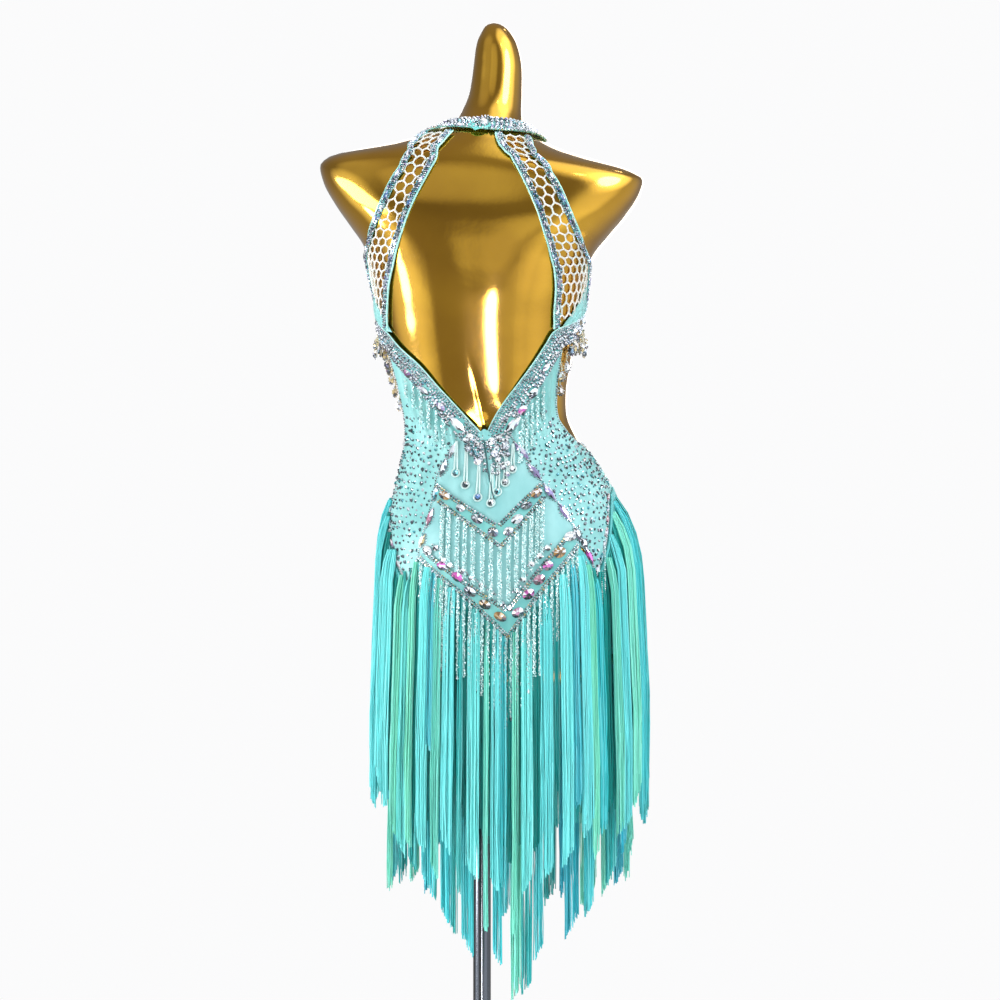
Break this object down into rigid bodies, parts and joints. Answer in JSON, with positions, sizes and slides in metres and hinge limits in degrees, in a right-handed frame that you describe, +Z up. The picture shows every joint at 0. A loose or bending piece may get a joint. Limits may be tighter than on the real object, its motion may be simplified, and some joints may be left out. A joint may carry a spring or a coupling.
{
  "type": "latin dance dress on a dress form",
  "caption": "Backless halter dance dress with net straps, beaded V and chevron bands and long hip fringe, worn by a limbless dress form on a pole stand.",
  "frame": {"origin": "centre of the round base's underside, on the pole's axis", "axes": "+Z up; the dress's back, the side that is shown, faces -Y; +X is to the right of someone looking at the back"},
  "size_m": [0.4236, 0.36, 1.5665],
  "materials": {
    "gold_form": "high-gloss gold lacquer over a moulded shell",
    "chrome": "polished chrome-plated steel",
    "aqua_cloth": "pale aqua stretch jersey with a soft sheen",
    "net_yarn": "pale open honeycomb net",
    "bead_band": "aqua band closely set with small rhinestones",
    "crystal": "foil-backed cut crystal",
    "fringe_yarn": "silky twisted rayon fringe in aqua, mint and teal"
  },
  "bodies": {
    "root": {"form_torso": "gold_form", "stand_base": "chrome", "stand_pole": "chrome", "stand_collar": "chrome", "neckband": "bead_band", "nape_tab": "aqua_cloth", "nape_button": "crystal", "net_left": "net_yarn", "net_right": "net_yarn", "opening_band_left": "bead_band", "opening_band_right": "bead_band", "armhole_band_left": "bead_band", "armhole_band_right": "bead_band", "v_band_left": "bead_band", "v_band_right": "bead_band", "centre_back": "aqua_cloth", "side_back_left": "aqua_cloth", "side_back_right": "aqua_cloth", "zip_tape": "bead_band", "chevron_upper": "bead_band", "chevron_lower": "bead_band", "bodice_front": "aqua_cloth", "front_panel": "aqua_cloth", "yoke_back": "aqua_cloth", "yoke_front": "aqua_cloth", "fringe_back_left": "fringe_yarn", "fringe_back_right": "fringe_yarn", "fringe_hip_left": "fringe_yarn", "fringe_hip_right": "fringe_yarn", "fringe_front_left": "fringe_yarn", "fringe_front_right": "fringe_yarn", "fringe_under_back_left": "fringe_yarn", "fringe_under_back_right": "fringe_yarn", "fringe_under_front_left": "fringe_yarn", "fringe_under_front_right": "fringe_yarn"}
  },
  "joints": []
}
